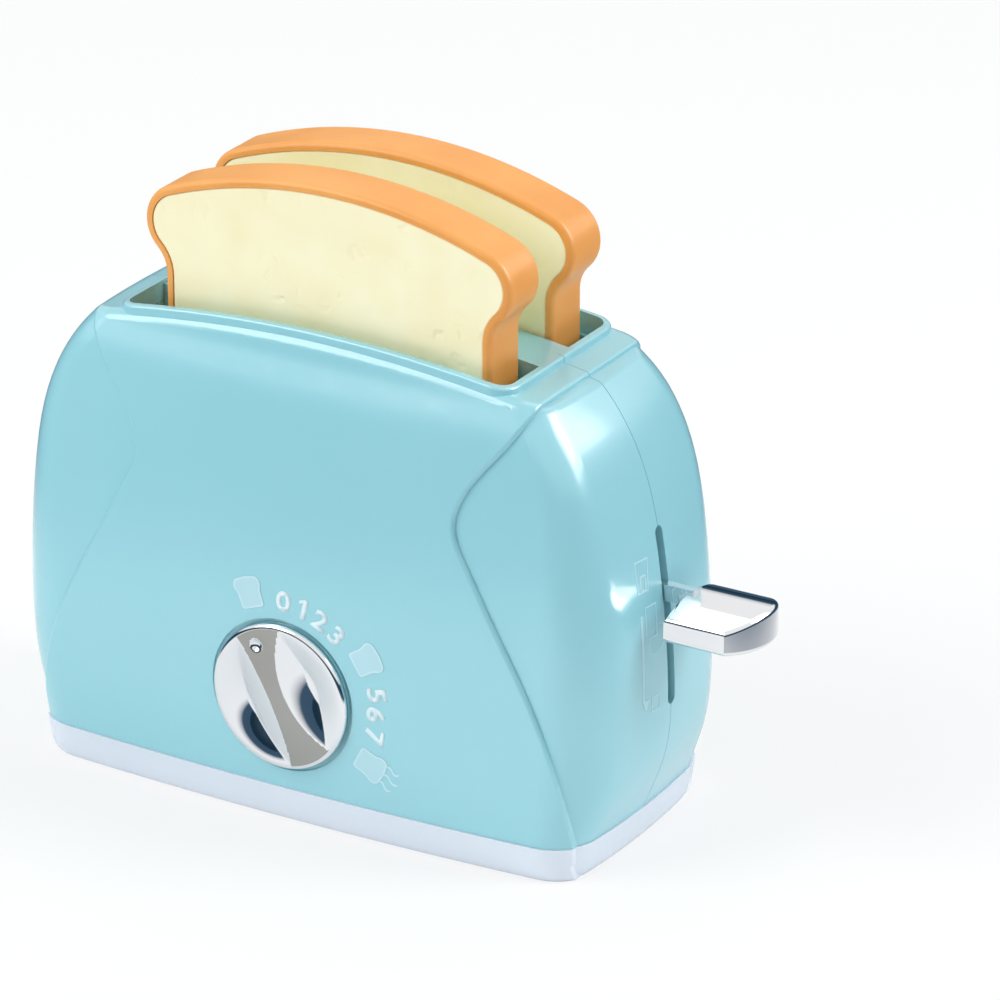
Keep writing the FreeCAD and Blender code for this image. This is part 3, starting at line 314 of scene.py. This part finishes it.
# %% Three soft lamps and a window for the gloss
def lamp(name, place, width, height, power):
    """A soft rectangular lamp that faces the toy, sized in metres."""
    data = bpy.data.lights.new(name, "AREA")
    data.shape = "RECTANGLE"
    data.size = width
    data.size_y = height
    data.energy = power
    thing = bpy.data.objects.new(name, data)
    bpy.context.scene.collection.objects.link(thing)
    thing.location = place
    thing.rotation_euler = (AIM - Vector(place)).to_track_quat("-Z", "Y").to_euler()
    return thing


lamp("lamp_left", (-1.0, -1.1, 1.3), 1.2, 1.2, 20)
lamp("lamp_shoulder", (0.95, 0.35, 0.85), 0.42, 0.6, 6)
lamp("lamp_top", (-0.2, 0.7, 1.6), 1.4, 1.0, 5)
window = lamp("lamp_window", (1.02, 0.55, 0.84), 1.15, 0.85, 17)
window.visible_diffuse = False
print("lamps:", [round(light.energy, 1) for light in bpy.data.lights])

# %% [markdown]
# ## World
# Plating shows whatever stands round it. In a studio that is a bright ceiling, pale walls and a
# dark strip near the horizon, and the strip is what makes chrome read as chrome. Only mirror
# rays see it here; the camera sees plain white, and the rest of the light is an even fill.

# %% A bright ceiling with a dark strip for mirrors
HORIZON = (
    (0.04, (0.012, 0.035, 0.06, 1)),
    (0.18, (0.05, 0.09, 0.13, 1)),
    (0.22, (0.62, 0.66, 0.70, 1)),
    (0.32, (1, 1, 1, 1)),
)
world = bpy.data.worlds.new("studio")
bpy.context.scene.world = world
world.use_nodes = True
sky = world.node_tree
fill = sky.nodes["Background"]
fill.inputs["Color"].default_value = (0.95, 0.97, 1.0, 1)
fill.inputs["Strength"].default_value = 0.50
ray = sky.nodes.new("ShaderNodeLightPath")
plain_white = sky.nodes.new("ShaderNodeBackground")
mirrored_sky = sky.nodes.new("ShaderNodeBackground")
direction = sky.nodes.new("ShaderNodeTexCoord")
split = sky.nodes.new("ShaderNodeSeparateXYZ")
strip = sky.nodes.new("ShaderNodeValToRGB")
first, last = strip.color_ramp.elements
first.position, first.color = HORIZON[0]
last.position, last.color = HORIZON[-1]
for spot, colour in HORIZON[1:-1]:
    strip.color_ramp.elements.new(spot).color = colour
to_mirror = sky.nodes.new("ShaderNodeMixShader")
to_camera = sky.nodes.new("ShaderNodeMixShader")
sky.links.new(direction.outputs["Generated"], split.inputs["Vector"])
sky.links.new(split.outputs["Z"], strip.inputs["Fac"])
sky.links.new(strip.outputs["Color"], mirrored_sky.inputs["Color"])
plain_white.inputs["Color"].default_value = (1, 1, 1, 1)
sky.links.new(ray.outputs["Is Glossy Ray"], to_mirror.inputs["Fac"])
sky.links.new(fill.outputs["Background"], to_mirror.inputs[1])
sky.links.new(mirrored_sky.outputs["Background"], to_mirror.inputs[2])
sky.links.new(ray.outputs["Is Camera Ray"], to_camera.inputs["Fac"])
sky.links.new(to_mirror.outputs["Shader"], to_camera.inputs[1])
sky.links.new(plain_white.outputs["Background"], to_camera.inputs[2])
sky.links.new(to_camera.outputs["Shader"], sky.nodes["World Output"].inputs["Surface"])
bpy.context.scene.view_settings.view_transform = "Standard"
print("sky nodes:", len(sky.nodes))

# %% [markdown]
# ## Print
# The figures round the dial are printed in one pale ink. An image could carry them, but thin
# shapes laid on the shell stay sharp at any distance. Three inks cover them: figures, outlines,
# and the weaker fill of the small slices.

# %% Inks
PRINTED = (60, 0.35, 0.05, 900, 0.004)
figure_ink = finish("figure_print", ink(226, 245, 250), ink(220, 242, 248), *PRINTED)
outline_ink = finish("outline_print", ink(203, 234, 243), ink(196, 230, 240), *PRINTED)
fill_ink = finish("fill_print", ink(186, 226, 235), ink(180, 222, 232), *PRINTED)
DIAL_X = -1.6 * MM
DIAL_Z = 31.4 * MM
PRINT_HEIGHT = 0.07 * MM
print("inks:", figure_ink.name, outline_ink.name, fill_ink.name)

# %% [markdown]
# ## Laying a mark on the shell
# A mark is drawn flat in front of the shell and then pushed straight back until it lies on it,
# which a Shrinkwrap in its Project mode does. Solidify then gives the print its hair of thickness.
# Both are applied, so the finished mark is a plain mesh.

# %% Push a flat mark onto the shell
shell = nodes["front_shell"]


def alone(piece):
    """Makes one piece the only one that operators act on."""
    bpy.ops.object.select_all(action="DESELECT")
    piece.select_set(True)
    bpy.context.view_layer.objects.active = piece


def lay_on_shell(piece, name, way, *inks):
    """Pushes a flat mark along X or Y onto the shell and gives it its hair of thickness."""
    alone(piece)
    bpy.ops.object.transform_apply(location=True, rotation=True, scale=True)
    wrap = piece.modifiers.new("lay", "SHRINKWRAP")
    wrap.target = shell
    wrap.wrap_method = "PROJECT"
    wrap.use_project_x = way == "X"
    wrap.use_project_y = way == "Y"
    wrap.use_negative_direction = way == "X"
    wrap.use_positive_direction = way == "Y"
    wrap.offset = PRINT_HEIGHT
    bpy.ops.object.modifier_apply(modifier="lay")
    thick = piece.modifiers.new("thick", "SOLIDIFY")
    thick.thickness = PRINT_HEIGHT * 0.8
    thick.offset = -1
    bpy.ops.object.modifier_apply(modifier="thick")
    if not piece.data.materials:
        for shade in inks:
            piece.data.materials.append(shade)
    piece.name = name
    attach(piece, "housing")
    return piece


def dial_place(angle, radius, depth=-0.045):
    """A spot on the ring round the dial, clockwise from the top, in front of the shell."""
    turn = math.radians(angle)
    return Vector((DIAL_X + radius * MM * math.sin(turn), depth, DIAL_Z + radius * MM * math.cos(turn)))


print("ring top:", [round(v, 4) for v in dial_place(0, 24)])

# %% [markdown]
# ## Figures
# The figures 0 to 7, without the 4 whose place a small slice takes, stand on a ring and turn
# with it. A text object with a little offset makes the stroke bold, and it becomes a mesh before
# it is placed. The plain 1 of this lettering has no flag, so a short slanted bar is added to it.

# %% Seven figures
FIGURES = (("0", 1.6, 22.9), ("1", 14.0, 22.8), ("2", 26.5, 22.8), ("3", 38.9, 22.8),
           ("5", 76.9, 25.2), ("6", 87.9, 24.3), ("7", 101.0, 24.2))
FIGURE_HEIGHT = 4.9 * MM
BOLD = 0.033
WIDER = 1.16
FLAG = ((-0.13, 0.22), (0.02, 0.13), (-0.13, 0.11), (0.02, 0))
for digit, angle, radius in FIGURES:
    bpy.ops.object.select_all(action="DESELECT")
    bpy.ops.object.text_add(location=(0, 0, 0))
    text = bpy.context.object
    text.data.body = digit
    text.data.offset = BOLD
    text.data.resolution_u = 6
    bpy.ops.object.convert(target="MESH")
    if digit == "1":
        left = min(v.co.x for v in bpy.context.object.data.vertices)
        top = max(v.co.y for v in bpy.context.object.data.vertices)
        bpy.ops.object.mode_set(mode="EDIT")
        bpy.ops.mesh.primitive_plane_add(size=0.1)
        bpy.ops.object.mode_set(mode="OBJECT")
        bar = bpy.context.object.data.vertices[-4:]
        for vertex, (across, down) in zip(bar, FLAG):
            vertex.co = (left + across, top - down, 0)
    bpy.ops.object.origin_set(type="ORIGIN_GEOMETRY", center="BOUNDS")
    figure = bpy.context.object
    size = FIGURE_HEIGHT / figure.dimensions.y
    figure.scale = (size * WIDER, size, size)
    figure.location = dial_place(angle, radius)
    figure.rotation_euler = (math.radians(90), math.radians(angle), 0)
    lay_on_shell(figure, "figure_" + digit, "Y", figure_ink)
print("figures:", len(FIGURES))

# %% [markdown]
# ## Small slices
# Three small slices of bread mark the settings between the figures. Each starts as a nine-sided
# face moved to the outline of a slice. Its corners are rounded by a vertex bevel, and an inset
# makes the outline, so the ring of faces wears one ink and the middle another.

# %% Three printed slices
OUTLINE = ((2.7, -3.2), (2.75, 0.3), (3.45, 1.7), (2.9, 3.2), (0.0, 3.6), (-2.9, 3.2),
           (-3.45, 1.7), (-2.75, 0.3), (-2.7, -3.2))
OUTLINE_SCALE = 1.1
SLICES = (("first", -19.8, 24.4), ("second", 58.3, 25.7), ("third", 117.6, 25.4))
for word, angle, radius in SLICES:
    bpy.ops.object.select_all(action="DESELECT")
    bpy.ops.mesh.primitive_circle_add(vertices=len(OUTLINE), radius=3 * MM, fill_type="NGON",
                                      location=dial_place(angle, radius))
    slice_mark = bpy.context.object
    slice_mark.rotation_euler = (math.radians(90), math.radians(angle), 0)
    around = sorted(slice_mark.data.vertices,
                    key=lambda v: -math.atan2(v.co.x, -v.co.y) % math.tau)
    for vertex, (across, up) in zip(around, OUTLINE):
        vertex.co = (across * OUTLINE_SCALE * MM, up * OUTLINE_SCALE * MM, 0)
    bpy.ops.object.mode_set(mode="EDIT")
    bpy.ops.mesh.select_all(action="SELECT")
    bpy.ops.mesh.bevel(affect="VERTICES", offset=0.75 * MM, segments=5)
    bpy.ops.mesh.select_all(action="SELECT")
    bpy.ops.mesh.inset(thickness=0.42 * MM)
    bpy.ops.object.mode_set(mode="OBJECT")
    slice_mark.data.materials.append(outline_ink)
    slice_mark.data.materials.append(fill_ink)
    for face in slice_mark.data.polygons:
        face.material_index = 1 if len(face.vertices) > 4 else 0
    lay_on_shell(slice_mark, "slice_mark_" + word, "Y")
print("small slices:", len(SLICES))

# %% [markdown]
# ## Steam
# The last slice is hot: three short wavy strokes rise from its outer side. Each is a narrow grid
# whose points are moved sideways along a wave.

# %% Three strokes of steam
STROKE_WIDTH = 0.55 * MM
STROKE_WAVE = 0.45 * MM
STEAM = ((113.2, 30.6, 3.6), (117.6, 31.0, 4.2), (122.0, 30.6, 3.6))
for count, (angle, radius, length) in enumerate(STEAM):
    bpy.ops.object.select_all(action="DESELECT")
    bpy.ops.mesh.primitive_grid_add(x_subdivisions=1, y_subdivisions=12, size=1,
                                    location=dial_place(angle, radius))
    stroke = bpy.context.object
    stroke.scale = (STROKE_WIDTH, length * MM, 1)
    bpy.ops.object.transform_apply(location=False, rotation=False, scale=True)
    for vertex in stroke.data.vertices:
        vertex.co.x += STROKE_WAVE * math.sin(vertex.co.y / (length * MM) * math.tau)
    stroke.rotation_euler = (math.radians(90), math.radians(angle), 0)
    lay_on_shell(stroke, "steam_%d" % count, "Y", outline_ink)
print("steam strokes:", len(STEAM))

# %% [markdown]
# ## Signs beside the lever
# Thin raised lines beside the slot show what the lever does: a slice over a box at the top, a
# long arrow down, and a small box at the foot. They are frames and bars a little paler than the
# shell, drawn flat to the right of it and pushed onto its end.

# %% Raised signs on the end
BESIDE_SHELL = 0.095
line_aqua = finish("sign_plastic", ink(190, 228, 238), ink(184, 224, 235), 60, 0.3, 0.05, 900, 0.004)


def sign(name, y, z, width, height, line=None, slant=0.0, narrow=1.0):
    """A bar, or a frame with lines of a given width, on the end of the shell."""
    bpy.ops.object.select_all(action="DESELECT")
    bpy.ops.mesh.primitive_plane_add(size=1, location=(BESIDE_SHELL, y * MM, z * MM))
    piece = bpy.context.object
    piece.scale = (width * MM, height * MM, 1)
    bpy.ops.object.transform_apply(location=False, rotation=False, scale=True)
    for vertex in piece.data.vertices:
        if vertex.co.y < 0:
            vertex.co.x *= narrow
    bpy.ops.object.mode_set(mode="EDIT")
    bpy.ops.mesh.select_all(action="SELECT")
    if line:
        bpy.ops.mesh.inset(thickness=line * MM)
        bpy.ops.mesh.delete(type="FACE")
        bpy.ops.mesh.select_all(action="SELECT")
    bpy.ops.mesh.subdivide(number_cuts=3)
    bpy.ops.object.mode_set(mode="OBJECT")
    piece.rotation_euler = (math.radians(90), math.radians(slant), math.radians(90))
    return lay_on_shell(piece, name, "X", line_aqua)


SIGNS = (
    ("sign_slice", -9.0, 68.0, 5.4, 7.4, 0.35, 4.0, 0.8),
    ("sign_slot", -9.0, 66.4, 2.2, 3.6, 0.3, 4.0, 1.0),
    ("sign_box", -7.2, 57.0, 4.6, 7.6, 0.35, 4.0, 1.0),
    ("sign_arrow", -11.4, 49.5, 0.9, 20.0, None, 3.0, 1.0),
    ("sign_arrow_head", -10.9, 38.4, 2.8, 2.4, None, 3.0, 0.15),
    ("sign_foot", -6.8, 37.6, 3.6, 3.6, 0.35, 4.0, 1.0),
)
for values in SIGNS:
    sign(*values)
print("signs:", len(SIGNS))

# %% [markdown]
# ## Dial
# The dial is a plated disc that sits almost flush in its recess. A waisted band crosses it, with
# a scooped hollow on each side and a small dimple near one end of the band. It could be cut with
# solid tools, but plating needs smooth curves, or its reflections break. So the front of a
# cylinder is inset many times into fine rings, and the hollows are then pressed in point by
# point: each point sinks by its distance from the band's edge or the rim, whichever is less.

# %% A disc with fine rings
DIAL_RADIUS = 17.3
DIAL_BACK = 33.3
DIAL_FACE = 35.6
RINGS = [0.125] * 8 + [0.25] * 64
bpy.ops.object.select_all(action="DESELECT")
bpy.ops.mesh.primitive_cylinder_add(vertices=256, radius=DIAL_RADIUS * MM,
                                    depth=(DIAL_FACE - DIAL_BACK) * MM,
                                    location=(0, -(DIAL_FACE + DIAL_BACK) / 2 * MM, 0),
                                    rotation=(math.radians(90), 0, 0))
dial = bpy.context.object
dial.name = "dial"
bpy.ops.object.transform_apply(location=True, rotation=True, scale=True)
bpy.ops.object.mode_set(mode="EDIT")
bpy.ops.mesh.select_all(action="DESELECT")
bpy.ops.object.mode_set(mode="OBJECT")
for face in dial.data.polygons:
    face.select = face.normal.y < -0.9
bpy.ops.object.mode_set(mode="EDIT")
for width in RINGS:
    bpy.ops.mesh.inset(thickness=width * MM)
bpy.ops.object.mode_set(mode="OBJECT")
print("disc faces:", len(dial.data.polygons))

# %% [markdown]
# The band leans 26 degrees from upright. Its left side is almost straight and its right side is
# a strong arc, so it is narrow in the middle and wide at its ends. The slopes steepen inwards
# and meet in a crisp valley. The band wears a rougher plating than the hollows, and its darker
# colour is painted shade, standing in for the shaded floor that the band mirrors.

# %% Press in the hollows and the dimple
BAND_SIDES = ((2.6, 90.0), (1.6, 21.0))
DEEPEST = 1.9
HALF_WIDTH = 6.3
RIM = 1.5
ROUNDING = 1.0
DIMPLE_PLACE = 12.8
DIMPLE_RADIUS = 1.6
DIMPLE_DEPTH = 0.8
LEAN = math.radians(26)


def across_and_along(x, z):
    """A point of the face, measured across and along the band."""
    return (x * math.cos(LEAN) + z * math.sin(LEAN), z * math.cos(LEAN) - x * math.sin(LEAN))


def off_band(u, w):
    """How far a point lies outside the band: each side is an arc with its own radius."""
    half, arc = BAND_SIDES[u > 0]
    return arc - math.hypot(abs(u) - half - arc, w)


def hollow(u, w):
    """How deep the face is pressed at a point across and along the band, in millimetres."""
    from_band = off_band(u, w)
    from_rim = DIAL_RADIUS - RIM - math.hypot(u, w)
    inside = max(0.0, min(from_band, from_rim, HALF_WIDTH)) / HALF_WIDTH
    return DEEPEST * (0.6 * inside + 0.4 * inside * inside)


def rounded_rim(radius):
    """How far the rounded rim falls back at a radius."""
    past = max(0.0, radius - DIAL_RADIUS + ROUNDING) / ROUNDING
    return ROUNDING * (1 - math.sqrt(max(0.0, 1 - past * past)))


for vertex in dial.data.vertices:
    if vertex.co.y > -(DIAL_FACE - 0.05) * MM:
        continue
    x, z = vertex.co.x / MM, vertex.co.z / MM
    u, w = across_and_along(x, z)
    dimple = max(0.0, 1 - (math.hypot(u, w - DIMPLE_PLACE) / DIMPLE_RADIUS) ** 2)
    pressed = hollow(u, w) + DIMPLE_DEPTH * dimple + rounded_rim(math.hypot(x, z))
    vertex.co.y += pressed * MM
dial.location = (DIAL_X, 0, DIAL_Z)
bpy.ops.object.transform_apply(location=True, rotation=True, scale=True)
bpy.ops.object.shade_smooth_by_angle(angle=math.radians(40))
dial.data.materials.append(chrome)
dial.data.materials.append(band_plating_painted_shade)
# Band faces get the rougher plating whose darker colour is painted shade.
for face in dial.data.polygons:
    x, z = (face.center.x - DIAL_X) / MM, (face.center.z - DIAL_Z) / MM
    u, w = across_and_along(x, z)
    in_band = off_band(u, w) < 0
    in_dimple = math.hypot(u, w - DIMPLE_PLACE) < DIMPLE_RADIUS + 0.1
    if in_band and not in_dimple and math.hypot(x, z) < DIAL_RADIUS - ROUNDING:
        face.material_index = 1
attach(dial, "dial")
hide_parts("dial_knob")
print("dial depth:", round(dial.dimensions.y / MM, 2), "mm")

# %% [markdown]
# ## Dial shaft
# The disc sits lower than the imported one, so its shaft is turned again, shorter, with a chamfer
# at each end. A cylinder is the start, and a bevel on its two rims finishes it.

# %% A shorter shaft
SHAFT_RADIUS = 3.0 * MM
SHAFT_CHAMFER = 0.35 * MM
bpy.ops.object.select_all(action="DESELECT")
shaft_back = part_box("dial_shaft")[1][1]
shaft_front = -(DIAL_BACK + 0.2) * MM
bpy.ops.mesh.primitive_cylinder_add(vertices=48, radius=SHAFT_RADIUS, depth=shaft_back - shaft_front,
                                    location=(DIAL_X, (shaft_back + shaft_front) / 2, DIAL_Z),
                                    rotation=(math.radians(90), 0, 0))
shaft = bpy.context.object
shaft.name = "dial_axle"
bpy.ops.object.transform_apply(location=True, rotation=True, scale=True)
chamfer = shaft.modifiers.new("chamfer", "BEVEL")
chamfer.width = SHAFT_CHAMFER
chamfer.segments = 2
bpy.ops.object.modifier_apply(modifier="chamfer")
bpy.ops.object.shade_smooth_by_angle(angle=math.radians(40))
shaft.data.materials.append(steel)
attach(shaft, "dial")
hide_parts("dial_shaft")
print("shaft:", round((shaft_back - shaft_front) / MM, 1), "mm long")
